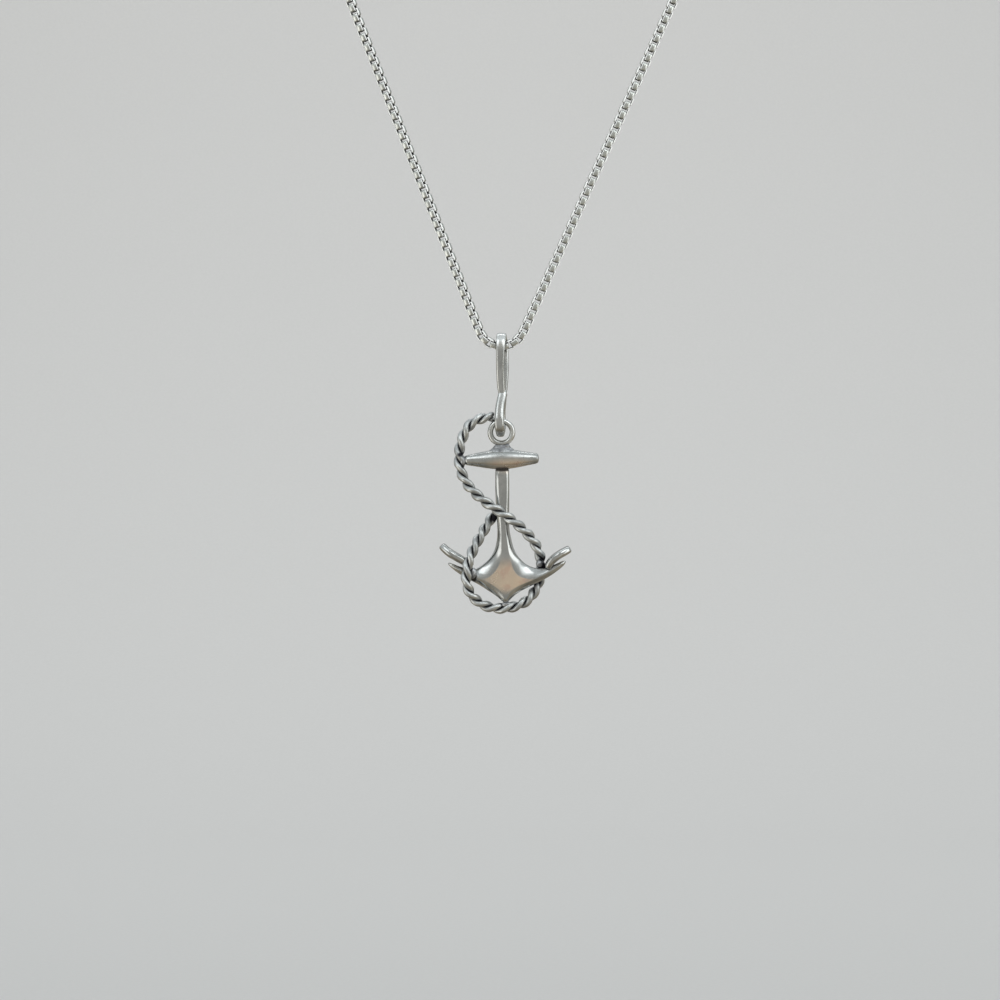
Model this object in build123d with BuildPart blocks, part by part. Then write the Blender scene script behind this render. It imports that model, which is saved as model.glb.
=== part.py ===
from build123d import *
import math
import os

# Anchor pendant on a fine box chain, hanging as it is worn.
# The chain loop lies in the XZ plane, the front faces -Y, and the origin is where the loop rests on the neck.
# All lengths are in millimetres and all angles in degrees.

# Chain loop and clasp
chain_length = 450.0
chain_width = 1.3
left_leg_angle = 21.3
right_leg_angle = 24.4
chain_bend_radius = 3.0
clasp_length = 10.0
clasp_diameter = 3.2
clasp_neck_length = 1.6
clasp_neck_diameter = 2.0
clasp_edge_radius = 0.4

# Bail: a strip bent into two eyes that are soldered together at a waist
bail_width = 1.2
bail_top_thickness = 0.9
bail_bottom_thickness = 1.2
bail_edge_radius = 0.3
bail_yaw = 12.0
eye_spacing = 9.35
chain_play = 0.2
ring_play = 0.45
waist_drop = 5.75
waist_length = 1.5
waist_depth = 1.8
waist_blend_radius = 3.0
eye_point_radius = 0.12

# Ring, collar and stock of the anchor
ring_hole_diameter = 2.26
ring_wire = 0.6
collar_diameter = 2.0
anchor_tilt = 1.5
stock_drop = 3.35
stock_length = 9.3
stock_diameter = 2.56
stock_end_diameter = 1.0

# Shank, crown and arms: one plate with bevelled edges
plate_thickness = 1.7
bevel = 0.3
shank_width = 1.66
shank_waist_width = 1.5
shank_waist_height = 5.8
arm_root_reach = 4.0
arm_root_drop = 17.1
arm_bend_width = 1.64
arm_bend_height = 4.2
arm_reach = 7.45
arm_rise = 1.1
arm_tip_width = 0.95
arm_tip_slant = 0.15
crown_depth = 4.0
crown_tip_width = 1.1
crown_shoulder_width = 4.0
crown_shoulder_height = 1.55
arm_belly_reach = 5.2
arm_belly_width = 1.12

# Palms: one plate on each arm
palm_reach = 4.8
palm_bite = 0.13
palm_angle = 35.0
palm_length = 4.1
palm_shoulder = 1.75
palm_width = 3.4
palm_root_width = 2.4
palm_tip_width = 1.5
palm_thickness = 1.05

# Rope: twisted wire that is soldered to the anchor wherever it touches
rope_diameter = 1.15
rope_neck_diameter = 0.9
solder_bite = 0.15

# The rope's route, from the ring round the stock, shank and arms to the back of the shank.
# Columns: across as a share of rope_reach, up as a share of anchor_height, forward as a share of stand_off.
rope_route = [
    (-0.234, 0.094, 0.0),
    (-0.595, 0.076, 0.0),
    (-0.945, -0.026, 0.0),
    (-1.065, -0.159, 0.0),
    (-0.920, -0.284, 0.3),
    (-0.546, -0.381, 0.9),
    (-0.039, -0.467, 1.0),
    (0.420, -0.557, 0.8),
    (0.800, -0.673, 0.0),
    (0.921, -0.806, -1.0),
    (0.868, -0.910, -0.9),
    (0.537, -1.012, -0.1),
    (0.000, -1.050, 0.0),
    (-0.537, -1.028, 0.1),
    (-0.921, -0.941, 0.8),
    (-0.966, -0.825, 1.0),
    (-0.751, -0.694, 0.6),
    (-0.478, -0.578, -0.2),
    (-0.254, -0.483, -0.9),
    (-0.059, -0.446, -1.0),
]


def on_arc(centre, radius, angle):
    """Point on an arc in the XZ plane, at an angle from +X, as (x, z)."""
    return centre[0] + radius * math.cos(angle), centre[1] + radius * math.sin(angle)


def arc_radii(points, share=0.45):
    """Fillet radius that takes up a share of the shorter run at each inner corner of a route."""
    radii = []
    for before, corner, after in zip(points, points[1:], points[2:]):
        run_in = Vector(corner) - Vector(before)
        run_out = Vector(after) - Vector(corner)
        turn = math.radians(run_in.get_angle(run_out))
        radii.append(share * min(run_in.length, run_out.length) / math.tan(turn / 2))
    return radii


# Chain loop: two straight legs, tangent to a small bend inside the bail and to a wide bend round the neck.
# The neck's radius follows from the whole length.
left_lean = math.radians(left_leg_angle)
right_lean = math.radians(right_leg_angle)
vee = left_lean + right_lean
leg_share = 1 / math.tan(vee / 2)
clasp_share = clasp_length / math.sin(vee)
straight_length = clasp_length + clasp_share * (math.cos(left_lean) + math.cos(right_lean))
bend_length = chain_bend_radius * (math.pi - vee - 2 * leg_share)
neck_radius = (chain_length - straight_length - bend_length) / (math.pi + vee + 2 * leg_share)
leg_reach = (neck_radius - chain_bend_radius) * leg_share
left_leg = leg_reach + clasp_share * math.cos(right_lean)
right_leg = leg_reach + clasp_share * math.cos(left_lean)
loop_top = clasp_diameter / 2

left_centre = (-clasp_length / 2, loop_top - neck_radius)
right_centre = (clasp_length / 2, loop_top - neck_radius)
left_start = on_arc(left_centre, neck_radius, math.pi / 2)
left_side = on_arc(left_centre, neck_radius, (1.5 * math.pi + left_lean) / 2)
left_tangent = on_arc(left_centre, neck_radius, math.pi + left_lean)
right_start = on_arc(right_centre, neck_radius, math.pi / 2)
right_side = on_arc(right_centre, neck_radius, (0.5 * math.pi - right_lean) / 2)
right_tangent = on_arc(right_centre, neck_radius, -right_lean)
left_foot = (left_tangent[0] + left_leg * math.sin(left_lean), left_tangent[1] - left_leg * math.cos(left_lean))
right_foot = (right_tangent[0] - right_leg * math.sin(right_lean), right_tangent[1] - right_leg * math.cos(right_lean))
bend_centre = on_arc(left_foot, chain_bend_radius, left_lean)
chain_low = on_arc(bend_centre, chain_bend_radius, -math.pi / 2)

with BuildPart() as chain:
    with BuildLine(Plane.XZ) as chain_path:
        ThreePointArc(left_start, left_side, left_tangent)
        Line(left_tangent, left_foot)
        ThreePointArc(left_foot, chain_low, right_foot)
        Line(right_foot, right_tangent)
        ThreePointArc(right_tangent, right_side, right_start)
    with BuildSketch(Plane(chain_path.line @ 0, z_dir=chain_path.line % 0)):
        Circle(chain_width / 2)
    sweep(path=chain_path.line)

# Clasp: one plain barrel that both ends of the chain run into
with BuildPart() as clasp:
    with BuildSketch(Plane((-clasp_length / 2, 0, loop_top), z_dir=(1, 0, 0))):
        Circle(clasp_neck_diameter / 2)
    extrude(amount=clasp_length)
    with BuildSketch(Plane((clasp_neck_length - clasp_length / 2, 0, loop_top), z_dir=(1, 0, 0))):
        Circle(clasp_diameter / 2)
    extrude(amount=clasp_length - 2 * clasp_neck_length)
    fillet(clasp.edges().filter_by(GeomType.CIRCLE).group_by(SortBy.RADIUS)[-1], radius=clasp_edge_radius)

# Bail: the upper eye is round the chain, the lower eye is round the top of the anchor's ring
bail_x, chain_z = chain_low
yaw = math.radians(bail_yaw)
bail_side = Plane((bail_x, 0, chain_z), x_dir=(math.sin(yaw), math.cos(yaw), 0),
                  z_dir=(math.cos(yaw), -math.sin(yaw), 0))
chain_eye_radius = chain_width / 2 + chain_play
ring_eye_radius = ring_wire / 2 + ring_play
upper_loop = (0, chain_eye_radius + bail_top_thickness, -waist_drop, waist_depth / 2)
lower_loop = (-eye_spacing, ring_eye_radius + bail_bottom_thickness, -waist_drop, waist_depth / 2)
upper_eye = (0, chain_eye_radius, -waist_drop + waist_length / 2, eye_point_radius)
lower_eye = (-eye_spacing, ring_eye_radius, -waist_drop - waist_length / 2, eye_point_radius)


def teardrop(centre, radius, point, point_radius, mode):
    """Hull of a large and a small circle on the bail's middle line."""
    with BuildSketch(mode=Mode.PRIVATE) as outline:
        with Locations((0, centre)):
            Circle(radius)
        with Locations((0, point)):
            Circle(point_radius)
        make_hull()
    add(outline.sketch, mode=mode)


with BuildPart() as bail:
    with BuildSketch(bail_side) as bail_outline:
        teardrop(*upper_loop, Mode.ADD)
        teardrop(*lower_loop, Mode.ADD)
        fillet(bail_outline.vertices().filter_by(lambda v: abs(v.Y + waist_drop) < waist_length / 2),
               radius=waist_blend_radius)
        teardrop(*upper_eye, Mode.SUBTRACT)
        teardrop(*lower_eye, Mode.SUBTRACT)
    extrude(amount=bail_width / 2, both=True)
    rims = bail.faces().filter_by(Axis(bail_side.origin, bail_side.z_dir))
    fillet(rims.edges(), radius=bail_edge_radius)

# Anchor: its own frame has X across, Y up and Z towards the front, from the middle of the ring
tilt = math.radians(anchor_tilt)
ring_radius = (ring_hole_diameter + ring_wire) / 2
swing_z = chain_z - eye_spacing
front = Plane((bail_x, 0, swing_z - ring_radius), x_dir=(math.cos(tilt), 0, math.sin(tilt)), z_dir=(0, -1, 0))
anchor_height = arm_root_drop + crown_depth
stand_off = plate_thickness / 2 + rope_diameter / 2 - solder_bite
rope_reach = stock_length / 2 + rope_diameter / 2 - solder_bite
rope_low = min(up for across, up, forward in rope_route)
arm_radius = ((arm_reach - arm_root_reach) ** 2 + arm_rise ** 2) / (2 * arm_rise)


def place(across, up, forward=0.0):
    """Point of the anchor's own frame in the part's frame."""
    return front.from_local_coords((across, up, forward))


def arm_top(reach):
    """Height of the arm's upper edge beyond its root."""
    return arm_radius - math.sqrt(arm_radius ** 2 - (reach - arm_root_reach) ** 2) - arm_root_drop


def plate_half():
    """Right half of the shank, crown and arm, from the stock down."""
    waist = (shank_waist_width / 2, shank_waist_height - arm_root_drop)
    arm_bend = (arm_bend_width / 2, arm_bend_height - arm_root_drop)
    arm_root = (arm_root_reach, -arm_root_drop)
    tip = (arm_reach, arm_rise - arm_root_drop)
    tip_foot = (arm_reach + arm_tip_slant, arm_rise - arm_root_drop - arm_tip_width)
    belly = (arm_belly_reach, arm_top(arm_belly_reach) - arm_belly_width)
    shoulder = (crown_shoulder_width / 2, crown_shoulder_height - anchor_height)
    crown_tip = (crown_tip_width / 2, -anchor_height)
    with BuildLine() as outline:
        Polyline((0, -anchor_height), (0, -stock_drop), (shank_width / 2, -stock_drop),
                 (shank_width / 2, (waist[1] - stock_drop) / 2), waist, arm_bend)
        EllipticalCenterArc((arm_root[0], arm_bend[1]), arm_root[0] - arm_bend[0], arm_bend_height,
                            start_angle=180, arc_size=90)
        TangentArc(arm_root, tip, tangent=(1, 0))
        Line(tip, tip_foot)
        ThreePointArc(tip_foot, belly, shoulder)
        Polyline(shoulder, crown_tip, (0, -anchor_height))
    make_face(outline.edges())


def palm(side):
    """Shield plate on the arm at one side, its flat towards the shank."""
    lean = math.radians(palm_angle)
    along = front.x_dir * side * math.cos(lean) + front.y_dir * math.sin(lean)
    normal = front.y_dir * math.cos(lean) - front.x_dir * side * math.sin(lean)
    root = place(side * palm_reach, arm_top(palm_reach) - palm_bite)
    with BuildSketch(Plane(root, x_dir=along, z_dir=normal)) as shield:
        with BuildLine():
            Polyline((0, palm_root_width / 2), (palm_shoulder, palm_width / 2),
                     (palm_length, palm_tip_width / 2), (palm_length, -palm_tip_width / 2),
                     (palm_shoulder, -palm_width / 2), (0, -palm_root_width / 2), close=True)
        make_face()
    extrude(shield.sketch, amount=palm_thickness)


with BuildPart(front) as anchor:
    with BuildSketch(front):
        plate_half()
        mirror(about=Plane.YZ)
    extrude(amount=plate_thickness / 2, both=True)
    flats = anchor.faces().sort_by(Axis.Y)
    chamfer(flats[0].edges() + flats[-1].edges(), length=bevel)
    Torus(ring_radius, ring_wire / 2)
    with BuildSketch(Plane(place(0, -ring_radius), z_dir=-front.y_dir)):
        Circle(collar_diameter / 2)
    extrude(amount=stock_drop - ring_radius)
    with BuildSketch(front):
        with BuildLine():
            Line((-stock_length / 2, -stock_drop), (stock_length / 2, -stock_drop))
            Line((stock_length / 2, -stock_drop), (stock_length / 2, stock_end_diameter / 2 - stock_drop))
            ThreePointArc((stock_length / 2, stock_end_diameter / 2 - stock_drop),
                          (0, stock_diameter / 2 - stock_drop),
                          (-stock_length / 2, stock_end_diameter / 2 - stock_drop))
            Line((-stock_length / 2, stock_end_diameter / 2 - stock_drop), (-stock_length / 2, -stock_drop))
        make_face()
    revolve(axis=Axis(place(0, -stock_drop), front.x_dir))
    palm(1)
    palm(-1)
    rope_points = [(across * rope_reach, up * anchor_height, forward * stand_off)
                   for across, up, forward in rope_route]
    with BuildLine(front) as rope_path:
        FilletPolyline(*rope_points, radius=arc_radii(rope_points))
    with BuildSketch(Plane(rope_path.line @ 0, z_dir=rope_path.line % 0)):
        Circle(rope_diameter / 2)
    sweep(path=rope_path.line)
    with BuildSketch(Plane(place(0, rope_low * anchor_height), z_dir=front.y_dir)):
        Circle(rope_neck_diameter / 2)
    extrude(amount=solder_bite - (1 + rope_low) * anchor_height)

chain_section = math.pi * chain_width ** 2 / 4
print("neck radius", neck_radius, "chain length", chain_path.wire().length + clasp_length)
print("chain volume", chain.part.volume, "section x length", chain_section * chain_path.wire().length)
print("rope length", rope_path.wire().length, "radii", [round(r, 2) for r in arc_radii(rope_points)])
print("bail at", bail_x, chain_z, "ring swings at", swing_z)
print("solids", [len(p.part.solids()) for p in (chain, clasp, bail, anchor)])

os.makedirs("parts", exist_ok=True)
for name, piece in (("chain", chain), ("clasp", clasp), ("bail", bail), ("anchor", anchor)):
    piece.part.label = name
    export_step(piece.part, f"parts/{name}.step")
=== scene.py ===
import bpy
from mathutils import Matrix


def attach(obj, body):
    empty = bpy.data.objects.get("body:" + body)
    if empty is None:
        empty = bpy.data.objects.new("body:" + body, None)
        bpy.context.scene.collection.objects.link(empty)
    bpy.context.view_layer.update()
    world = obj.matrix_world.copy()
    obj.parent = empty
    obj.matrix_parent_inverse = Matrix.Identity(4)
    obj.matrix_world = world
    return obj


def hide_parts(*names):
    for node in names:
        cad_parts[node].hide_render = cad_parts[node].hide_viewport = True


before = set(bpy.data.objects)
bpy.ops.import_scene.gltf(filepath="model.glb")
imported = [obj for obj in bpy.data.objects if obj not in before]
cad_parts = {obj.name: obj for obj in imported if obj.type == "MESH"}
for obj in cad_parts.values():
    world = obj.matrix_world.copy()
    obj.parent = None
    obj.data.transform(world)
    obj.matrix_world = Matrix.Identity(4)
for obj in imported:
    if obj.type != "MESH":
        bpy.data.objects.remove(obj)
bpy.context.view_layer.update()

import math
import bpy
from mathutils import Matrix, Vector

# An anchor pendant with a twisted rope, on a fine box chain. The scene is in metres, and sizes are in mm
mm = 0.001
weld = 0.001 * mm  # points nearer to each other than this are one


# Handling of pieces

def clearSelection():
    if bpy.context.mode != "OBJECT":
        bpy.ops.object.mode_set(mode="OBJECT")
    bpy.ops.object.select_all(action="DESELECT")


def pickOut(*pieces):
    clearSelection()
    for piece in pieces:
        piece.select_set(True)
    bpy.context.view_layer.objects.active = pieces[0]
    return pieces[0]


def freshPiece(name):
    piece = bpy.context.object
    piece.name = name
    piece.data.name = name
    return piece


def pickParts(piece, kind, wanted):
    # leaves the piece in edit mode, with those parts selected that wanted() says yes to: VERT, EDGE or FACE
    pickOut(piece)
    bpy.ops.object.mode_set(mode="EDIT")
    bpy.ops.mesh.select_mode(type=kind)
    bpy.ops.mesh.select_all(action="DESELECT")
    bpy.ops.object.mode_set(mode="OBJECT")
    mesh = piece.data
    for part in {"VERT": mesh.vertices, "EDGE": mesh.edges, "FACE": mesh.polygons}[kind]:
        part.select = wanted(part)
    bpy.ops.object.mode_set(mode="EDIT")


def inEdit(piece, *steps):
    # runs edit-mode steps on the whole mesh
    pickOut(piece)
    bpy.ops.object.mode_set(mode="EDIT")
    bpy.ops.mesh.select_all(action="SELECT")
    for step in steps:
        step()
    bpy.ops.object.mode_set(mode="OBJECT")


def addModifier(piece, kind, **values):
    modifier = piece.modifiers.new(kind.title(), kind)
    for key, value in values.items():
        setattr(modifier, key, value)
    return modifier


def applyModifiers(piece):
    pickOut(piece)
    for modifier in list(piece.modifiers):
        bpy.ops.object.modifier_apply(modifier=modifier.name)


def closeSkin(piece, reach):
    # merges doubled points, closes open ends and turns every face outwards
    inEdit(piece, lambda: bpy.ops.mesh.remove_doubles(threshold=reach))
    inEdit(piece, lambda: bpy.ops.mesh.fill_holes(sides=0))
    inEdit(piece, lambda: bpy.ops.mesh.normals_make_consistent(inside=False))


def joinPieces(name, *pieces):
    pickOut(*pieces)
    bpy.ops.object.join()
    return freshPiece(name)


def smoothOff(piece, angle=35):
    pickOut(piece)
    bpy.ops.object.shade_smooth_by_angle(angle=math.radians(angle))


def soften(piece, levels, angle):
    addModifier(piece, "SUBSURF", levels=levels, render_levels=levels)
    applyModifiers(piece)
    smoothOff(piece, angle)


def fixPlace(piece):
    pickOut(piece)
    bpy.ops.object.transform_apply(location=True, rotation=True, scale=True)


def handOver(piece, body, slot, material, *nodes):
    fixPlace(piece)
    piece.data.materials.clear()
    piece.data.materials.append(material)
    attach(piece, body)
    if nodes:
        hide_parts(*nodes)


# Metal finishes

class Signal:
    # a socket that Python's own signs work on
    def __init__(self, sheet, socket):
        self.sheet, self.socket = sheet, socket

    def outlet(self, name):
        return Signal(self.sheet, self.socket.node.outputs[name])

    def maths(self, operation, first, second):
        return self.sheet.node("ShaderNodeMath", {"operation": operation}, {0: first, 1: second})

    def __add__(self, other):
        return self.maths("ADD", self, other)

    def __radd__(self, other):
        return self.maths("ADD", other, self)

    def __sub__(self, other):
        return self.maths("SUBTRACT", self, other)

    def __rsub__(self, other):
        return self.maths("SUBTRACT", other, self)

    def __mul__(self, other):
        return self.maths("MULTIPLY", self, other)

    def __rmul__(self, other):
        return self.maths("MULTIPLY", other, self)


class FinishSheet:
    # the nodes of one finish
    def __init__(self, tree):
        self.tree = tree
        self.tree.nodes.clear()

    def node(self, kind, settings=None, sockets=None, output=0):
        made = self.tree.nodes.new(kind)
        for key, value in (settings or {}).items():
            setattr(made, key, value)
        for key, value in (sockets or {}).items():
            if isinstance(value, Signal):
                self.tree.links.new(value.socket, made.inputs[key])
            else:
                made.inputs[key].default_value = value
        return Signal(self, made.outputs[output]) if made.outputs else None

    def noise(self, place, scale, detail=3.0, stretch=(1.0, 1.0, 1.0)):
        turned = self.node("ShaderNodeMapping", {}, {"Vector": place, "Scale": stretch})
        return self.node("ShaderNodeTexNoise", {}, {"Vector": turned, "Scale": scale, "Detail": detail})

    def step(self, value, low, high):
        return self.node("ShaderNodeMapRange", {"interpolation_type": "SMOOTHSTEP"},
                         {"Value": value, "From Min": low, "From Max": high})

    def blend(self, amount, one, other):
        # of the sockets that share a name, 6, 7 and outlet 2 are the ones for colours
        colours = {"Factor": amount, 6: one, 7: other}
        return self.node("ShaderNodeMix", {"data_type": "RGBA"}, colours, 2)

    def spot(self, place, centre, reach, core=0.55):
        # 1 inside the core of an egg-shaped patch, 0 outside it; centre and reach in mm
        around = self.node("ShaderNodeMapping", {}, {
            "Vector": place, "Location": [-c / r for c, r in zip(centre, reach)],
            "Scale": [1 / (r * mm) for r in reach]})
        away = self.node("ShaderNodeVectorMath", {"operation": "LENGTH"}, {0: around}, "Value")
        return 1.0 - self.step(away, core, 1.0)


def shade(red, green, blue):
    return (red, green, blue, 1.0)


# What every silver shares. A span is where a pattern starts and is whole. A stretch draws it out downwards
sharedSilver = {
    "cloudSpan": (0.40, 0.66), "brushScale": 0.5, "brushStretch": (1.0, 1.0, 0.15),
    "streakScale": 1900, "streakStretch": (1.0, 1.0, 0.12), "streakSpan": (0.44, 0.62),
    # The core and cloud of the painted reflections, and how matte the chain's painted rim highlight is, are
    # set below too
    "edgeSpan": (0.515, 0.60), "reflectionCore": 0.35, "reflectionCloud": 0.15,
    "blushScale": 1.8, "blushSpan": (0.50, 0.66), "blushShare": 0.75,
    "bumpDepth": 0.02 * mm, "grainInBump": 0.6, "brushInBump": 0.8, "cloudInRough": 0.6, "grainInRough": 0.4,
    "recessRough": 0.25, "streakRough": 0.10, "recessDull": 0.4, "rimHighlightDull": 0.75,
}

# Each silver's own look. Patches of painted reflection are (centre, reach, share, depth of the face or None),
# patches of painted shadow (centre, reach), all in mm
silverLooks = {
    # Each look's darkest colour fills the hollows: patina the silver has there, mixed with painted shade
    "anchor": {
        "bright": shade(0.66, 0.67, 0.665), "tarnish": shade(0.40, 0.415, 0.41),
        "worn": shade(0.88, 0.89, 0.87), "patinaAndShade": shade(0.040, 0.034, 0.030),
        "reflectionTint": shade(1.0, 0.81, 0.62), "blush": shade(0.95, 0.68, 0.52),
        "reflectionMatte": 0.10, "cloud": 420, "cloudShare": 0.60, "smooth": 0.14, "rough": 0.28, "streak": 0.25,
        "grain": 5200, "grainBump": 0.12, "recessReach": 0.55 * mm, "recessSpan": (0.30, 0.78), "wear": 0.75,
        # painted reflection: the star facet and the stock's underside take a warm tint and turn partly matte,
        # standing in for mirrored brown surroundings
        "paintedReflections": [((-2.70, -0.9, -207.95), (4.3, 0.9, 2.9), 1.0, (0.800, 0.842)),
                  ((-2.3, -1.2, -194.0), (4.6, 1.3, 1.3), 0.75, None)],
        # painted shadows: the gap under the stock, the shank and left arm beside the rope, and the right
        # palm's root
        "paintedShadows": [((-3.42, 0, -194.44), (1.4, 1.6, 0.40)), ((-7.0, -0.6, -207.7), (0.55, 1.4, 1.2)),
                      ((-4.42, -0.6, -201.0), (0.40, 1.2, 1.0)), ((1.95, -0.4, -205.8), (0.50, 1.2, 0.55))]},
    "rope": {
        "bright": shade(0.71, 0.73, 0.73), "tarnish": shade(0.33, 0.345, 0.355),
        "worn": shade(0.88, 0.89, 0.88), "patinaAndShade": shade(0.012, 0.012, 0.018),
        "cloud": 600, "cloudShare": 0.60, "smooth": 0.30, "rough": 0.46, "streak": 0.15,
        "grain": 5200, "grainBump": 0.05, "recessReach": 0.70 * mm, "recessSpan": (0.46, 0.94), "wear": 0.35,
        # painted shadows: beside the stock's end, where the rope passes the shank, and under the arms
        "paintedShadows": [((-8.75, -0.2, -192.6), (0.55, 0.9, 0.45)), ((-8.35, -0.2, -194.1), (0.60, 0.9, 0.42)),
                      ((-4.45, 0.6, -200.4), (0.60, 1.2, 0.75)), ((1.45, -0.2, -205.7), (0.55, 1.0, 0.60)),
                      ((-7.15, -0.4, -208.3), (0.45, 1.0, 1.10)), ((1.15, 1.2, -208.2), (0.85, 1.0, 0.95))]},
    "bail": {
        "bright": shade(0.72, 0.73, 0.725), "tarnish": shade(0.46, 0.475, 0.47),
        "worn": shade(0.90, 0.90, 0.88), "patinaAndShade": shade(0.17, 0.15, 0.12),
        "reflectionTint": shade(0.98, 0.99, 0.98), "blush": shade(0.92, 0.93, 0.92),
        "reflectionMatte": 0.0, "cloud": 350, "cloudShare": 0.55, "smooth": 0.15, "rough": 0.27, "streak": 0.60,
        "grain": 4200, "grainBump": 0.04, "recessReach": 0.5 * mm, "recessSpan": (0.30, 0.75), "wear": 0.4,
        # painted highlight: the top of the upper eye is whitened where it curves up into the light
        "paintedReflections": [((-3.6, -0.6, -178.1), (1.8, 2.2, 1.9), 0.90, None)]},
    "solder": {
        "bright": shade(0.52, 0.53, 0.545), "tarnish": shade(0.24, 0.245, 0.26),
        "worn": shade(0.75, 0.77, 0.80), "patinaAndShade": shade(0.02, 0.02, 0.026),
        "cloud": 1500, "cloudShare": 0.85, "smooth": 0.30, "rough": 0.55, "streak": 0.10,
        "grain": 3000, "grainBump": 0.35, "recessReach": 0.45 * mm, "recessSpan": (0.30, 0.80), "wear": 0.5},
    "chain": {
        "bright": shade(0.68, 0.72, 0.69), "tarnish": shade(0.41, 0.45, 0.43),
        "worn": shade(0.96, 0.97, 0.96), "patinaAndShade": shade(0.04, 0.04, 0.04),
        "cloud": 500, "cloudShare": 0.4, "smooth": 0.22, "rough": 0.34, "streak": 0.10,
        "grain": 4000, "grainBump": 0.02, "recessReach": 0.55 * mm, "recessSpan": (0.34, 0.84), "wear": 0.4},
}
silverLooks["stock"] = {
    **silverLooks["anchor"], "paintedShadows": [], "smooth": 0.20, "rough": 0.36, "grainBump": 0.18}
silverLooks["ring"] = {**silverLooks["bail"], "paintedReflections": [], "streak": 0.25, "bright": shade(0.86, 0.87, 0.86)}


def silver(name, look, shared=sharedSilver):
    material = bpy.data.materials.new(name)
    material.use_nodes = True
    sheet = FinishSheet(material.node_tree)
    place = sheet.node("ShaderNodeTexCoord", {}, {}, "Object")
    cloud = sheet.step(sheet.noise(place, look["cloud"], detail=4.0), *shared["cloudSpan"])
    grain = sheet.noise(place, look["grain"], detail=2.0)
    brush = sheet.noise(place, look["grain"] * shared["brushScale"], 2.0, shared["brushStretch"])
    streak = sheet.noise(place, shared["streakScale"], 2.0, shared["streakStretch"])
    streak = sheet.step(streak, *shared["streakSpan"]) * look["streak"]
    nearby = {"Distance": look["recessReach"]}
    # patina and painted shade: the nearer other surfaces are, the darker the hollow
    openness = sheet.node("ShaderNodeAmbientOcclusion", {"samples": 8}, nearby, "AO")
    recess = 1.0 - sheet.step(openness, *look["recessSpan"])
    pointiness = sheet.node("ShaderNodeNewGeometry", {}, {}, "Pointiness")
    edge = sheet.step(pointiness, *shared["edgeSpan"]) * look["wear"]
    rim = sheet.node("ShaderNodeAttribute", {"attribute_name": "rim"}, {}, "Fac")  # only the chain has one: its rim faces get a painted highlight

    # from clean metal to painted warm reflections, worn edges, and hollows darkened by patina and painted
    # shade
    colour = sheet.blend(cloud * look["cloudShare"], look["bright"], look["tarnish"])
    colour = sheet.blend(streak, colour, look["tarnish"])
    depth = 0.0 - sheet.node("ShaderNodeSeparateXYZ", {}, {"Vector": place}, "Y")
    reflectionMatte = 0.0
    # painted reflection: each listed patch is tinted warm, or white on the bail, and made partly matte
    for centre, reach, share, face in look.get("paintedReflections", []):
        paintedReflections = sheet.spot(place, centre, reach, shared["reflectionCore"]) * (share - cloud * shared["reflectionCloud"])
        if face:
            paintedReflections = paintedReflections * sheet.step(depth, face[0] * mm, face[1] * mm)
        reflectionMatte = reflectionMatte + paintedReflections * look["reflectionMatte"]
        blush = sheet.noise(place, look["cloud"] * shared["blushScale"])
        blush = sheet.step(blush, *shared["blushSpan"]) * shared["blushShare"]
        colour = sheet.blend(paintedReflections, colour, sheet.blend(blush, look["reflectionTint"], look["blush"]))
    colour = sheet.blend(edge, colour, look["worn"])
    # painted highlight: the chain's rims take the pale worn colour
    colour = sheet.blend(rim, colour, look["worn"])
    # painted shadows: the listed patches go as dark as the hollows
    for centre, reach in look.get("paintedShadows", []):
        spot = sheet.spot(place, centre, reach)
        recess = sheet.node("ShaderNodeMath", {"operation": "MAXIMUM"}, {0: recess, 1: spot})
    # patina and painted shade: the hollows and the painted shadow patches take the darkest colour
    colour = sheet.blend(recess, colour, look["patinaAndShade"])

    unevenness = cloud * shared["cloudInRough"] + grain * shared["grainInRough"]
    roughness = look["smooth"] + (look["rough"] - look["smooth"]) * unevenness
    roughness = roughness + recess * shared["recessRough"] + streak * shared["streakRough"]
    # the painted reflections, the chain's painted rim highlight and the shaded hollows are made partly matte
    metallic = 1.0 - recess * shared["recessDull"] - rim * shared["rimHighlightDull"] * (1.0 - recess) - reflectionMatte
    relief = grain * shared["grainInBump"] + brush * shared["brushInBump"]
    bump = sheet.node("ShaderNodeBump", {}, {
        "Strength": look["grainBump"], "Distance": shared["bumpDepth"], "Height": relief})
    metal = sheet.node("ShaderNodeBsdfPrincipled", {}, {
        "Base Color": colour, "Metallic": metallic, "Roughness": roughness, "Normal": bump})
    sheet.node("ShaderNodeOutputMaterial", {}, {"Surface": metal})
    return material


anchorSilver = silver("anchorSilver", silverLooks["anchor"])
stockSilver = silver("stockSilver", silverLooks["stock"])
ropeSilver = silver("ropeSilver", silverLooks["rope"])
bailSilver = silver("bailSilver", silverLooks["bail"])
ringSilver = silver("ringSilver", silverLooks["ring"])
solderSilver = silver("solderSilver", silverLooks["solder"])
chainSilver = silver("chainSilver", silverLooks["chain"])
print("finishes mixed")


# Chain: one bent link, copied along the loop and turned a quarter at each step

chainValues = {
    "length": 450.0, "claspLength": 10.0, "loopTop": 1.6, "leftLean": 21.3, "rightLean": 24.4,
    "bendRadius": 3.0, "links": 670, "linkLength": 1.02, "linkWidth": 1.20, "stripWidth": 0.66,
    "stripThickness": 0.165, "cornerRadius": 0.18, "rimChamfer": 0.055, "leftRoll": 20.0, "rightRoll": 9.0,
    "rollEase": 4.0,
}


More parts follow.
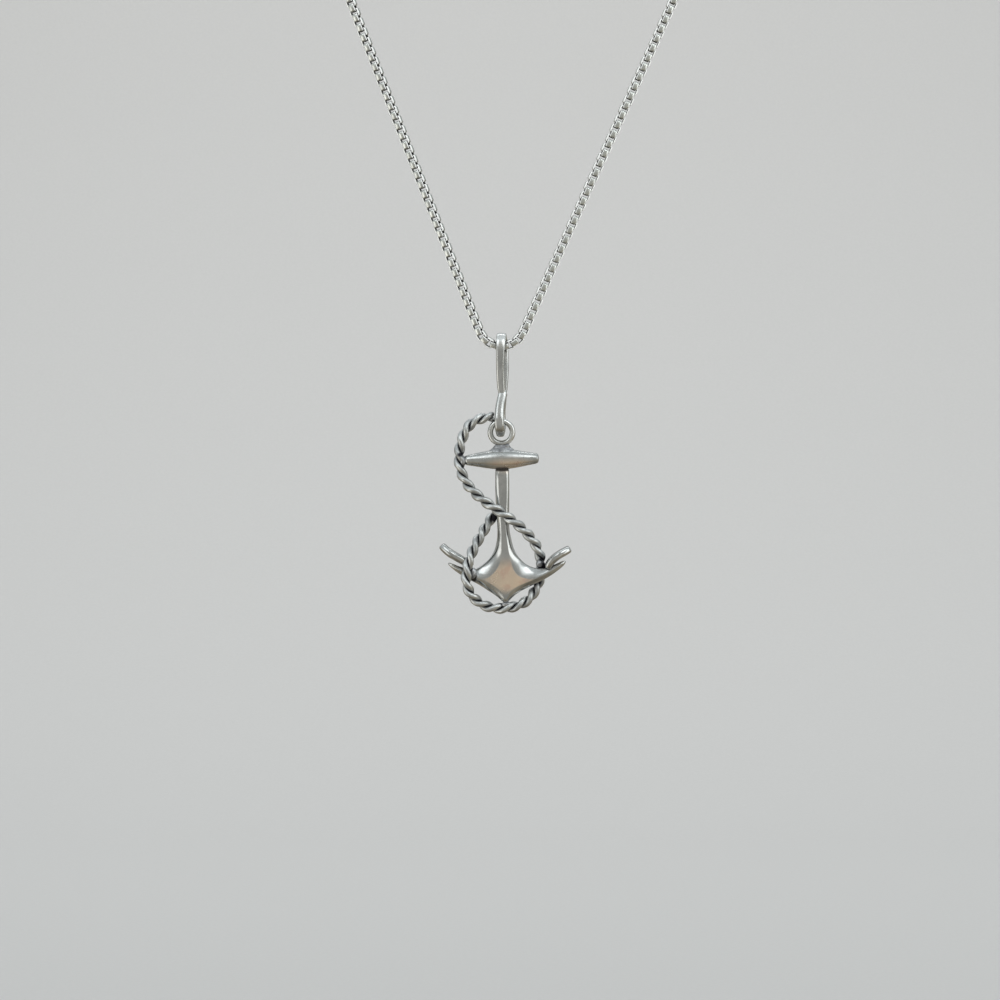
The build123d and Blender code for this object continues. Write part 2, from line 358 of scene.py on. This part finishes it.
def chainRuns(values):
    # the loop as arcs and lines: (length, start point, start heading, turn per mm)
    left, right = math.radians(values["leftLean"]), math.radians(values["rightLean"])
    vee = left + right
    share = 1 / math.tan(vee / 2)
    claspShare = values["claspLength"] / math.sin(vee)
    bend = values["bendRadius"]
    straight = values["claspLength"] + claspShare * (math.cos(left) + math.cos(right))
    neck = (values["length"] - straight - bend * (math.pi - vee - 2 * share)) / (math.pi + vee + 2 * share)
    reach = (neck - bend) * share
    turns = [(neck * (math.pi / 2 + left), 1 / neck), (reach + claspShare * math.cos(right), 0.0),
             (bend * (math.pi - vee), 1 / bend), (reach + claspShare * math.cos(left), 0.0),
             (neck * (math.pi / 2 + right), 1 / neck)]
    runs = []
    point, heading = Vector((-values["claspLength"] / 2, 0.0, values["loopTop"])), math.pi
    for length, turn in turns:
        runs.append((length, point.copy(), heading, turn))
        if turn:
            centre = point + Vector((-math.sin(heading), 0, math.cos(heading))) / turn
            heading += length * turn
            point = centre - Vector((-math.sin(heading), 0, math.cos(heading))) / turn
        else:
            point = point + Vector((math.cos(heading), 0, math.sin(heading))) * length
    return runs


def onChain(runs, distance):
    for length, point, heading, turn in runs:
        if distance <= length or (length, point, heading, turn) == runs[-1]:
            break
        distance -= length
    if turn:
        centre = point + Vector((-math.sin(heading), 0, math.cos(heading))) / turn
        heading += distance * turn
        point = centre - Vector((-math.sin(heading), 0, math.cos(heading))) / turn
    else:
        point = point + Vector((math.cos(heading), 0, math.sin(heading))) * distance
    return point, heading


def makeLink(values):
    # a strip bent square: the open ends look along y, and its wall has six sides
    clearSelection()
    bpy.ops.mesh.primitive_cube_add(size=mm)
    link = freshPiece("chainLink")
    inEdit(link, lambda: bpy.ops.transform.resize(
        value=(values["linkLength"], values["stripWidth"], values["linkWidth"])))
    half = values["stripWidth"] / 2 * mm
    pickParts(link, "FACE", lambda face: abs(face.normal.y) > 0.5)
    bpy.ops.mesh.delete(type="ONLY_FACE")
    bpy.ops.object.mode_set(mode="OBJECT")
    corners = link.data.vertices
    pickParts(link, "EDGE", lambda edge: abs(
        corners[edge.vertices[0]].co.y - corners[edge.vertices[1]].co.y) > half)
    bpy.ops.mesh.bevel(offset=values["cornerRadius"] * mm, segments=2)
    bpy.ops.object.mode_set(mode="OBJECT")
    outside = {tuple(round(number / mm, 3) for number in vertex.co) for vertex in link.data.vertices}
    addModifier(link, "SOLIDIFY", thickness=values["stripThickness"] * mm, offset=-1.0)
    applyModifiers(link)
    corners = link.data.vertices
    outer = [tuple(round(number / mm, 3) for number in vertex.co) in outside for vertex in corners]
    pickParts(link, "EDGE", lambda edge: all(outer[index] for index in edge.vertices)
              and abs(corners[edge.vertices[0]].co.y - corners[edge.vertices[1]].co.y) < half)
    bpy.ops.mesh.bevel(offset=values["rimChamfer"] * mm, segments=1)
    bpy.ops.object.mode_set(mode="OBJECT")
    rim = link.data.attributes.new("rim", "FLOAT", "FACE")  # read by the chain's finish, which paints a highlight on these rim faces
    for face in link.data.polygons:
        rim.data[face.index].value = 1.0 if abs(face.normal.y) > 0.4 else 0.0
    smoothOff(link, 50)
    return link


def makeChain(values):
    runs = chainRuns(values)
    pitch = sum(run[0] for run in runs) / values["links"]
    firstLeg = runs[0][0] + runs[1][0]
    secondLeg = firstLeg + runs[2][0]
    ease = values["rollEase"]
    link = makeLink(values)
    links = []
    for index in range(values["links"]):
        distance = (index + 0.5) * pitch
        point, heading = onChain(runs, distance)
        share = (distance - firstLeg + ease) / (secondLeg - firstLeg + 2 * ease)
        share = min(max(share, 0.0), 1.0)
        roll = math.radians(values["leftRoll"] + (values["rightRoll"] - values["leftRoll"]) * share)
        copy = link.copy()
        copy.data = link.data.copy()
        bpy.context.collection.objects.link(copy)
        place = Matrix.Translation(point * mm) @ Matrix.Rotation(-heading, 4, "Y")
        copy.data.transform(place @ Matrix.Rotation(roll + index % 2 * math.pi / 2, 4, "X"))
        links.append(copy)
    bpy.data.objects.remove(link)
    return joinPieces("boxChain", *links)


boxChain = makeChain(chainValues)
handOver(boxChain, "necklace", "chain_silver", chainSilver, "chain")
print("chain linked:", len(boxChain.data.polygons), "faces")


# Anchor: every piece is made in the anchor's own frame, from the middle of the ring, and placed last

# heights of the chain's low point, where the bail hangs, and of the middle of the anchor's ring
hangPlace = {"across": -3.549, "chain": -178.975, "ring": -189.755, "lean": 1.5}


def hangOnAnchor(piece, material):
    pickOut(piece)
    piece.location = Vector((hangPlace["across"], 0, hangPlace["ring"])) * mm
    piece.rotation_euler = (0, -math.radians(hangPlace["lean"]), 0)
    handOver(piece, "anchor", "anchor_silver", material, "anchor")


# Crown, shank and arms: patches of a grid, pulled to the edges of the facets. Points are (across, out, up)

crownValues = {
    "spine": [(0, .40, -4.3), (0, .84, -5.0), (0, .85, -7.5), (-.04, .85, -10.6), (-.10, .85, -12.2),
              (-.08, .86, -13.45), (-.02, .86, -14.7), (.08, .865, -15.8), (.06, .865, -16.95),
              (.08, .865, -17.75), (.18, .86, -18.2), (.35, .86, -18.5)],
    "spineFoot": [(0, .74, -21.0), (0, .81, -20.5), (0, .84, -19.8), (.10, .855, -19.1), (.35, .86, -18.5)],
    "rightInner": [(.50, .40, -4.3), (.50, .84, -5.0), (.50, .85, -7.5), (.30, .85, -10.6),
                   (.20, .85, -12.25), (.32, .86, -13.5), (.47, .86, -14.75), (.62, .865, -16.05),
                   (.80, .865, -17.25), (1.34, .865, -18.12), (2.25, .86, -18.46), (3.35, .85, -18.60),
                   (5.4, .70, -17.72), (7.6, .30, -16.38)],
    "rightRim": [(.82, .20, -4.3), (.82, .50, -5.0), (.82, .50, -7.5), (.67, .40, -10.6), (.64, .20, -12.2),
                 (.91, .14, -13.45), (1.12, .10, -14.65), (1.68, .10, -15.6), (2.35, .10, -16.4),
                 (3.2, .10, -16.92), (4.0, .10, -17.14), (4.9, .10, -17.16), (6.0, .22, -16.82),
                 (7.75, .08, -16.02)],
    "leftInner": [(-.50, .40, -4.3), (-.50, .84, -5.0), (-.50, .85, -7.5), (-.38, .85, -10.6),
                  (-.33, .85, -12.25), (-.36, .86, -13.5), (-.36, .86, -14.75), (-.30, .865, -16.0),
                  (-.68, .865, -16.98), (-1.22, .865, -17.70), (-1.78, .86, -18.13), (-2.45, .85, -18.42),
                  (-4.9, .70, -17.6), (-7.1, .30, -16.25)],
    "leftRim": [(-.88, .20, -4.3), (-.90, .50, -5.0), (-.99, .50, -7.5), (-.86, .40, -10.6),
                (-.79, .20, -12.2), (-.89, .14, -13.45), (-1.17, .10, -14.65), (-1.72, .10, -15.6),
                (-2.4, .10, -16.25), (-3.1, .10, -16.73), (-3.7, .10, -16.98), (-4.3, .10, -17.02),
                (-5.6, .22, -16.72), (-7.2, .08, -15.92)],
    "rightFoot": [(0, .74, -21.0), (.27, .80, -20.6), (.55, .83, -19.86), (1.48, .85, -19.18),
                  (3.35, .85, -18.60), (5.4, .70, -17.72), (7.6, .30, -16.38)],
    "rightKeel": [(.02, .34, -21.5), (.50, .30, -21.0), (1.15, .28, -20.33), (2.35, .12, -19.66),
                  (4.0, .12, -18.95), (5.8, .10, -18.10), (7.75, .08, -16.62)],
    "leftFoot": [(0, .74, -21.0), (-.30, .80, -20.6), (-.50, .83, -19.88), (-1.28, .85, -19.16),
                 (-2.45, .85, -18.42), (-4.9, .70, -17.6), (-7.1, .30, -16.25)],
    "leftKeel": [(.02, .34, -21.5), (-.50, .30, -21.08), (-1.22, .28, -20.36), (-2.2, .12, -19.74),
                 (-3.5, .12, -18.80), (-5.4, .10, -17.90), (-7.25, .08, -16.32)],
    "shares": (0.25, 0.50, 0.76), "steep": 66, "gentle": 23, "crease": 0.80,
    "weld": 0.004 * mm, "mirrorWeld": 0.002 * mm,
}


def between(rim, inner, share, steep, gentle):
    # a row on the arc from a facet's rim, where it is steep, to its flat inner edge, where it is gentle
    steep, gentle = math.radians(steep), math.radians(gentle)
    lean = math.asin(math.sin(steep) - (math.sin(steep) - math.sin(gentle)) * share)
    height = (math.cos(lean) - math.cos(steep)) / (math.cos(gentle) - math.cos(steep))
    return [(a[0] + (b[0] - a[0]) * share, a[1] + (b[1] - a[1]) * height, a[2] + (b[2] - a[2]) * share)
            for a, b in zip(rim, inner)]


def flatOut(row):
    return [(across, 0.0, up) for across, out, up in row]


def gridPatch(name, rows):
    clearSelection()
    bpy.ops.mesh.primitive_grid_add(x_subdivisions=len(rows[0]) - 1, y_subdivisions=len(rows) - 1, size=mm)
    patch = freshPiece(name)
    points = [point for row in rows for point in row]
    for vertex, (across, out, up) in zip(patch.data.vertices, points):
        vertex.co = Vector((across, -out, up)) * mm
    return patch


def makeCrown(values):
    patches = []
    for side in ("right", "left"):
        inner, rim = values[side + "Inner"], values[side + "Rim"]
        foot, keel = values[side + "Foot"], values[side + "Keel"]
        for outer, top in ((rim, inner), (keel, foot)):
            leans = values["steep"], values["gentle"]
            rows = [between(outer, top, share, *leans) for share in values["shares"]]
            patches.append(gridPatch("bevel", [flatOut(outer), outer, *rows, top]))
        patches.append(gridPatch("flat", [inner[:len(values["spine"])], values["spine"]]))
        patches.append(gridPatch("footFlat", [foot[:len(values["spineFoot"])], values["spineFoot"]]))
    crown = joinPieces("crownAndShank", *patches)
    addModifier(crown, "MIRROR", use_axis=(False, True, False), merge_threshold=values["mirrorWeld"])
    applyModifiers(crown)
    closeSkin(crown, values["weld"])
    creaseRows(crown, values)
    soften(crown, 2, 40)
    return crown


def creaseRows(crown, values):
    # the edges of the flat facets stay crisp, with a soft rounding
    rows = [values[side + part] for side in ("right", "left") for part in ("Inner", "Foot")]
    crisp = {(round(across, 3), round(out, 3), round(up, 3)) for row in rows for across, out, up in row}
    places = [vertex.co / mm for vertex in crown.data.vertices]
    onRow = [(round(place.x, 3), round(abs(place.y), 3), round(place.z, 3)) in crisp for place in places]
    layer = crown.data.attributes.new("crease_edge", "FLOAT", "EDGE")
    for edge in crown.data.edges:
        if all(onRow[index] for index in edge.vertices):
            layer.data[edge.index].value = values["crease"]


crown = makeCrown(crownValues)
hangOnAnchor(crown, anchorSilver)
print("crown shaped:", len(crown.data.polygons), "faces")


# Turned pieces: the stock and the collar, drawn out station by station, and the ring

def turned(name, stations, along, sides=48):
    # stations are (place, radius) along x or z
    axis = Vector((1, 0, 0)) if along == "x" else Vector((0, 0, 1))
    rotation = (0, math.pi / 2, 0) if along == "x" else (0, 0, 0)
    clearSelection()
    start, radius = stations[0]
    bpy.ops.mesh.primitive_circle_add(vertices=sides, radius=radius * mm, fill_type="NGON",
                                      location=axis * start * mm, rotation=rotation)
    piece = freshPiece(name)
    bpy.ops.object.mode_set(mode="EDIT")
    bpy.ops.mesh.select_all(action="SELECT")
    for place, nextRadius in stations[1:]:
        bpy.ops.mesh.extrude_region_move(TRANSFORM_OT_translate={"value": axis * (place - start) * mm})
        scale = nextRadius / radius
        bpy.ops.transform.resize(value=(1 if along == "x" else scale, scale, scale if along == "x" else 1))
        start, radius = place, nextRadius
    bpy.ops.mesh.select_all(action="SELECT")
    bpy.ops.mesh.normals_make_consistent(inside=False)
    bpy.ops.object.mode_set(mode="OBJECT")
    fixPlace(piece)
    return piece


stockValues = {
    "stations": [(-4.70, .20), (-4.66, .44), (-4.54, .59), (-4.3, .66), (-3.7, .75), (-3.0, .88),
                 (-2.2, 1.03), (-1.4, 1.16), (-.6, 1.25), (0, 1.28), (.6, 1.25), (1.4, 1.16), (2.2, 1.03),
                 (3.0, .88), (3.7, .75), (4.2, .67), (4.42, .60), (4.54, .46), (4.58, .20)],
    "height": -3.38,
}
collarValues = {
    "stations": [(-2.80, 1.95), (-2.45, 1.82), (-2.22, 1.58), (-2.02, 1.26), (-1.78, 1.04), (-1.5, .86)],
    "flatness": 0.50, "lumps": 0.07, "seed": 4,
}
ringValues = {"radius": 1.385, "wire": 0.35, "squash": 0.98}

stock = turned("stock", stockValues["stations"], "x")
inEdit(stock, lambda: bpy.ops.transform.translate(value=(0, 0, stockValues["height"] * mm)))
soften(stock, 1, 60)
hangOnAnchor(stock, stockSilver)

collar = turned("collar", collarValues["stations"], "z", 20)
inEdit(collar, lambda: bpy.ops.transform.resize(value=(1, collarValues["flatness"], 1)),
       lambda: bpy.ops.transform.vertex_random(offset=collarValues["lumps"] * mm, seed=collarValues["seed"]))
soften(collar, 2, 60)
hangOnAnchor(collar, solderSilver)

clearSelection()
bpy.ops.mesh.primitive_torus_add(
    major_segments=72, minor_segments=20, major_radius=ringValues["radius"] * mm,
    minor_radius=ringValues["wire"] * mm, rotation=(math.pi / 2, 0, 0))
ring = freshPiece("ring")
fixPlace(ring)
inEdit(ring, lambda: bpy.ops.transform.resize(value=(1, ringValues["squash"], 1)))
smoothOff(ring, 60)
hangOnAnchor(ring, ringSilver)


# Strips: palms and bail are lofted along rows of (across, out, up, width, thickness)

def loft(name, rings):
    # one closed skin over rings of points, with a cap on each end
    clearSelection()
    bpy.ops.mesh.primitive_grid_add(x_subdivisions=len(rings[0]), y_subdivisions=len(rings) - 1, size=mm)
    skin = freshPiece(name)
    points = [point for ring in rings for point in (*ring, ring[0])]
    for vertex, point in zip(skin.data.vertices, points):
        vertex.co = point * mm
    closeSkin(skin, weld)
    return skin


def strip(name, rows, wide, corner, sides):
    # each row becomes a rounded oblong, its width along wide and its thickness square to the run
    wide = Vector(wide)
    middles = [Vector((across, -out, up)) for across, out, up, width, thickness in rows]
    rings = []
    for index, (middle, row) in enumerate(zip(middles, rows)):
        run = middles[min(index + 1, len(rows) - 1)] - middles[max(index - 1, 0)]
        side = wide.cross(run - wide * run.dot(wide)).normalized()
        ring = []
        for step in range(sides):
            angle = 2 * math.pi * (step + 0.5) / sides
            parts = math.cos(angle), math.sin(angle)
            reach = [math.copysign(abs(part) ** (2 / corner), part) for part in parts]
            ring.append(middle + wide * reach[0] * row[3] / 2 + side * reach[1] * row[4] / 2)
        rings.append(ring)
    piece = loft(name, rings)
    soften(piece, 2, 60)
    return piece


palmValues = {
    "right": [(5.28, 0, -17.20, 1.6, .60), (5.35, 0, -17.05, 2.0, .90), (5.50, 0, -16.70, 2.4, 1.00),
              (5.85, 0, -16.16, 2.9, 1.04), (6.75, 0, -15.50, 3.4, 1.06), (7.55, 0, -15.10, 2.7, 1.04),
              (8.00, 0, -14.87, 2.2, 1.00), (8.17, 0, -14.79, 1.8, .86), (8.24, 0, -14.75, 1.2, .55)],
    "left": [(-4.55, 0, -16.34, 1.6, .60), (-4.65, 0, -16.27, 2.0, .90), (-5.02, 0, -16.04, 2.4, 1.02),
             (-5.88, 0, -15.53, 3.1, 1.08), (-6.745, 0, -15.00, 3.4, 1.08), (-7.35, 0, -14.48, 2.7, 1.04),
             (-7.70, 0, -14.12, 2.2, .98), (-7.84, 0, -13.97, 1.8, .86), (-7.90, 0, -13.90, 1.2, .55)],
    "corner": 3.0, "sides": 20,
}
for side in ("right", "left"):
    palm = strip(side + "Palm", palmValues[side], (0, 1, 0), palmValues["corner"], palmValues["sides"])
    hangOnAnchor(palm, anchorSilver)
print("palms set on the arms")


# Rope: two strands twisted round one route, soldered on wherever it touches

ropeValues = {
    "route": [(-.86, 0, 1.98), (-3.25, 0, 1.92), (-4.95, 0, -.30), (-5.55, 0, -3.30), (-4.85, .383, -6.0),
              (-2.95, 1.25, -8.15), (-.42, 1.46, -9.95), (2.1, 1.10, -11.80), (4.15, 0, -14.2),
              (4.72, -1.275, -17.007), (4.12, -1.148, -19.3), (2.70, -.128, -21.353), (0, 0, -22.155),
              (-2.80, .128, -21.75), (-4.72, 1.02, -19.855), (-4.95, 1.30, -17.35), (-4.0, .765, -14.6),
              (-2.55, -.255, -12.25), (-1.35, -1.20, -10.35), (-.299, -1.32, -9.411)],
    "strandRadius": 0.355, "lay": 0.335, "pitch": 3.30, "step": 0.12, "endTaper": 0.3, "tipShare": 0.02,
}


def curveThrough(name, points):
    clearSelection()
    bpy.ops.curve.primitive_nurbs_path_add()
    route = freshPiece(name)
    spline = route.data.splines[0]
    spline.points.add(len(points) - len(spline.points))
    for point, (across, out, up) in zip(spline.points, points):
        point.co = (across * mm, -out * mm, up * mm, 1.0)
    spline.order_u = 3
    spline.use_endpoint_u = True
    spline.resolution_u = 24
    return route


def readRoute(route, step):
    # points along the curve, one step apart
    line = bpy.data.meshes.new_from_object(route)
    points = [vertex.co.copy() for vertex in line.vertices]
    bpy.data.meshes.remove(line)
    even, spare = [points[0]], 0.0
    for one, other in zip(points, points[1:]):
        length = (other - one).length
        while spare + length >= step:
            share = (step - spare) / length
            one = one + (other - one) * share
            even.append(one.copy())
            length = (other - one).length
            spare = 0.0
        spare += length
    return even


def makeStrand(name, line, phase, values):
    clearSelection()
    bpy.ops.curve.primitive_nurbs_path_add()
    strand = freshPiece(name)
    strand.data.splines.clear()
    spline = strand.data.splines.new("POLY")
    spline.points.add(len(line) - 1)
    for index, point in enumerate(line):
        ahead = line[min(index + 1, len(line) - 1)] - line[max(index - 1, 0)]
        ahead.normalize()
        side = ahead.cross(Vector((0, 1, 0))).normalized()
        deep = side.cross(ahead).normalized()
        turn = 2 * math.pi * index * values["step"] / values["pitch"] + phase
        offset = (side * math.cos(turn) + deep * math.sin(turn)) * values["lay"] * mm
        spline.points[index].co = (*(point + offset), 1.0)
        fromEnd = min(index, len(line) - 1 - index) * values["step"]
        taper = max(0.0, 1 - fromEnd / values["endTaper"])
        spline.points[index].radius = math.sqrt(max(values["tipShare"], 1 - taper ** 2))
    strand.data.bevel_depth = values["strandRadius"] * mm
    strand.data.bevel_resolution = 4
    strand.data.use_fill_caps = True
    pickOut(strand)
    bpy.ops.object.convert(target="MESH")
    return freshPiece(name)


ropeRoute = curveThrough("ropeRoute", ropeValues["route"])
ropeLine = readRoute(ropeRoute, ropeValues["step"] * mm)
bpy.data.objects.remove(ropeRoute)
rope = joinPieces("twistedRope", makeStrand("strandOne", ropeLine, 0.0, ropeValues),
                  makeStrand("strandTwo", ropeLine, math.pi, ropeValues))
inEdit(rope, lambda: bpy.ops.mesh.remove_doubles(threshold=weld),
       lambda: bpy.ops.mesh.normals_make_consistent(inside=False))
smoothOff(rope, 50)
hangOnAnchor(rope, ropeSilver)
print("rope twisted:", len(ropeLine) * ropeValues["step"], "mm long")


# Bail: two strips, each bent round one eye and soldered to the other. Rows count from the chain's low point

bailValues = {
    "upper": [(.10, .44, -6.30, .45, .40), (.06, .50, -6.05, .90, .74), (-.07, .57, -5.0, 1.00, .88),
              (-.17, .90, -3.0, 1.00, .90), (-.16, 1.14, -1.7, 1.04, .86), (-.13, 1.21, -.7, 1.10, .82),
              (-.10, 1.14, .08, 1.16, .76), (-.07, .97, .62, 1.22, .75), (-.03, .56, 1.15, 1.28, .78),
              (.03, 0, 1.34, 1.24, .82), (.13, -.78, 1.06, 1.16, .90), (.26, -1.20, .52, 1.08, .90),
              (.38, -1.27, -.4, 1.02, .90), (.46, -1.10, -1.5, 1.00, .90), (.46, -.87, -3.0, 1.00, .90),
              (.33, -.57, -5.0, .94, .88), (.28, -.50, -5.95, .84, .74), (.28, -.44, -6.15, .5, .40)],
    "lower": [(.20, .36, -5.50, .8, .4), (.16, .44, -5.75, 1.08, .72), (.07, .60, -6.4, 1.14, .90),
              (-.10, .76, -7.1, 1.14, 1.04), (-.24, .98, -8.0, 1.17, 1.12), (-.27, 1.22, -8.9, 1.20, 1.18),
              (-.27, 1.38, -9.6, 1.22, 1.20), (-.22, 1.22, -10.3, 1.26, 1.20),
              (-.16, .66, -10.72, 1.10, 1.20), (-.12, 0, -10.86, 1.00, 1.20),
              (-.08, -.60, -10.64, 1.10, 1.20), (-.04, -1.14, -10.15, 1.28, 1.20),
              (-.06, -1.33, -9.2, 1.20, 1.18), (-.04, -1.04, -8.0, 1.10, 1.14),
              (.10, -.79, -7.1, 1.02, 1.06), (.20, -.58, -6.4, .94, .90), (.26, -.48, -5.75, .84, .72),
              (.28, -.40, -5.55, .5, .4)],
    "corner": 3.4, "sides": 16, "solder": [(.37, .42, -6.12), (.34, .50, .46)],
}


def hangOnBail(piece):
    place = Vector((hangPlace["across"], 0, hangPlace["chain"])) * mm
    inEdit(piece, lambda: bpy.ops.transform.translate(value=place))
    handOver(piece, "bail", "bail_silver", bailSilver, "bail")


for eye in ("upper", "lower"):
    bent = strip(eye + "Eye", bailValues[eye], (1, 0, 0), bailValues["corner"], bailValues["sides"])
    hangOnBail(bent)


# Solder: lumps where pieces meet. Each is its place (across, out, up), then its three reaches, in mm

def solderLump(name, place, reach, seed, roughness=0.10):
    clearSelection()
    bpy.ops.mesh.primitive_ico_sphere_add(subdivisions=2, radius=mm)
    lump = freshPiece(name)
    across, out, up = place
    inEdit(lump, lambda: bpy.ops.transform.vertex_random(offset=roughness * mm, seed=seed),
           lambda: bpy.ops.transform.resize(value=reach),
           lambda: bpy.ops.transform.translate(value=Vector((across, -out, up)) * mm))
    soften(lump, 2, 60)
    return lump


solderValues = {
    "collarLump": [(.62, .10, -1.82), (.42, .44, .46)],
    "collarSmear": [(-.55, .05, -1.95), (.62, .50, .42)],
    "crownTip": [(.06, .12, -21.55), (.66, .50, .42)],
    "stockEnd": [(-4.92, .12, -3.45), (.42, .50, .78)],
    "rightPalmRoot": [(4.28, -.30, -16.55), (.44, .50, .50)],
    "leftArm": [(-3.95, .55, -17.5), (.48, .45, .75)],
}
for seed, (name, (place, reach)) in enumerate(solderValues.items()):
    hangOnAnchor(solderLump(name, place, reach, seed + 1), solderSilver)
hangOnBail(solderLump("bailSolder", *bailValues["solder"], 9))
print("bail bent and soldered")

# The clasp keeps its solid
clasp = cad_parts["clasp"]
clasp.data.materials.clear()
clasp.data.materials.append(chainSilver)


# Stage, light and camera

stageValues = {"floor": -0.3, "near": -1.4, "far": 0.55, "wall": 1.25, "top": 0.9, "width": 3.4, "steps": 10}
paperValues = {
    "dark": shade(0.61, 0.605, 0.60), "light": shade(0.65, 0.645, 0.64), "grain": 900, "bump": 0.08,
    "bumpDepth": 0.2 * mm, "roughness": 0.9,
}


def makeSweep(values):
    # a floor that bends up into a wall behind the pendant
    clearSelection()
    bpy.ops.mesh.primitive_plane_add(size=1.0, location=(0, 0, values["floor"]))
    sweep = freshPiece("floorSweep")
    sweep.scale = (values["width"], values["far"] - values["near"], 1)
    sweep.location.y = (values["far"] + values["near"]) / 2
    fixPlace(sweep)
    pickParts(sweep, "VERT", lambda vertex: vertex.co.y > 0)
    bend = values["wall"] - values["far"]
    for index in range(values["steps"]):
        one, other = [part / values["steps"] * math.pi / 2 for part in (index, index + 1)]
        move = (0, bend * (math.sin(other) - math.sin(one)), bend * (math.cos(one) - math.cos(other)))
        bpy.ops.mesh.extrude_region_move(TRANSFORM_OT_translate={"value": move})
    rise = (0, 0, values["top"] - values["floor"] - bend)
    bpy.ops.mesh.extrude_region_move(TRANSFORM_OT_translate={"value": rise})
    bpy.ops.object.mode_set(mode="OBJECT")
    smoothOff(sweep, 60)
    return sweep


def makePaper(values):
    material = bpy.data.materials.new("palePaper")
    material.use_nodes = True
    sheet = FinishSheet(material.node_tree)
    place = sheet.node("ShaderNodeTexCoord", {}, {}, "Object")
    grain = sheet.noise(place, values["grain"])
    colour = sheet.blend(grain, values["dark"], values["light"])
    bump = sheet.node("ShaderNodeBump", {}, {
        "Strength": values["bump"], "Distance": values["bumpDepth"], "Height": grain})
    card = sheet.node("ShaderNodeBsdfPrincipled", {}, {
        "Base Color": colour, "Roughness": values["roughness"], "Normal": bump})
    sheet.node("ShaderNodeOutputMaterial", {}, {"Surface": card})
    return material


floorSweep = makeSweep(stageValues)
floorSweep.data.materials.append(makePaper(paperValues))
floorSweep.visible_glossy = False  # the silver mirrors the room, not the paper

# Lamps: two softboxes high in front, a strip on each side, one for the wall, and one from the front that only
# lifts dull white rims, a painted highlight on the chain. Each is (location, size, power, colour, aim, seen
# in the silver)
pendantMiddle = (-0.0037, 0, -0.20)
lampValues = {
    "rightSoftbox": ((0.145, -0.268, 0.061), (0.18, 0.20), 0.185, (0.96, 0.99, 1.0), pendantMiddle, True),
    "leftSoftbox": ((-0.170, -0.260, 0.061), (0.18, 0.20), 0.135, (0.96, 0.99, 1.0), pendantMiddle, True),
    "leftStrip": ((-0.34, -0.18, -0.30), (0.24, 0.36), 0.26, (1.0, 1.0, 0.98), pendantMiddle, True),
    "rightStrip": ((0.36, -0.18, -0.12), (0.22, 0.36), 0.26, (0.98, 1.0, 0.99), pendantMiddle, True),
    "wallLight": ((0.0, 0.35, 0.55), (0.9, 0.5), 4.0, (1.0, 1.0, 1.0), (0, 1.2, 0.0), True),
    "frontFill": ((0.05, -0.90, -0.12), (0.5, 0.5), 3.6, (1.0, 1.0, 1.0), pendantMiddle, False),
}


def hangLamp(name, location, size, power, colour, aim, seen):
    clearSelection()
    bpy.ops.object.light_add(type="AREA", location=location)
    lamp = bpy.context.object
    lamp.name = name
    lamp.data.shape = "RECTANGLE"
    lamp.data.size, lamp.data.size_y = size
    lamp.data.energy = power
    lamp.data.color = colour
    lamp.rotation_euler = (Vector(aim) - Vector(location)).to_track_quat("-Z", "Y").to_euler()
    lamp.visible_glossy = seen


for name, values in lampValues.items():
    hangLamp(name, *values)

# Room light: cool above, dull warm below, an even grey in front of the pendant
roomValues = {
    "ground": shade(0.31, 0.28, 0.22), "sky": shade(0.56, 0.60, 0.61), "skySpan": (-0.45, 0.75),
    "front": shade(0.375, 0.37, 0.345), "frontSpan": (0.55, 0.92),
    "back": shade(0.06, 0.06, 0.055), "backSpan": (0.25, 0.85), "backShare": 0.25,
    "below": shade(0.055, 0.045, 0.035), "belowSpan": (0.74, 0.96), "belowShare": 0.65,
}


def lightRoom(values):
    world = bpy.data.worlds.new("studio")
    world.use_nodes = True
    sheet = FinishSheet(world.node_tree)
    view = sheet.node("ShaderNodeTexCoord")  # its first outlet is the direction looked in
    parts = sheet.node("ShaderNodeSeparateXYZ", {}, {"Vector": view})
    front, height = 0.0 - parts.outlet("Y"), parts.outlet("Z")
    colour = sheet.blend(sheet.step(height, *values["skySpan"]), values["ground"], values["sky"])
    colour = sheet.blend(sheet.step(front, *values["frontSpan"]), colour, values["front"])
    back = sheet.step(0.0 - front, *values["backSpan"]) * values["backShare"]
    colour = sheet.blend(back, colour, values["back"])
    below = sheet.step(0.0 - height, *values["belowSpan"]) * values["belowShare"]
    colour = sheet.blend(below, colour, values["below"])
    backdrop = sheet.node("ShaderNodeBackground", {}, {"Color": colour, "Strength": 1.0})
    sheet.node("ShaderNodeOutputWorld", {}, {"Surface": backdrop})
    bpy.context.scene.world = world


lightRoom(roomValues)
bpy.context.scene.view_settings.view_transform = "Standard"

# The camera looks straight at the pendant from 400 mm, and the frame is 125 mm wide there
cameraValues = {
    "across": -3.724, "up": -198.225, "distance": 400, "frameWidth": 125, "sensor": 36, "clip": (0.01, 10),
}


def setCamera(values):
    clearSelection()
    place = Vector((values["across"], -values["distance"], values["up"])) * mm
    bpy.ops.object.camera_add(location=place, rotation=(math.pi / 2, 0, 0))
    camera = bpy.context.object
    camera.name = "photoCamera"
    camera.data.sensor_width = values["sensor"]
    camera.data.lens = values["sensor"] * values["distance"] / values["frameWidth"]
    camera.data.clip_start, camera.data.clip_end = values["clip"]
    bpy.context.scene.camera = camera


setCamera(cameraValues)
print("stage set")
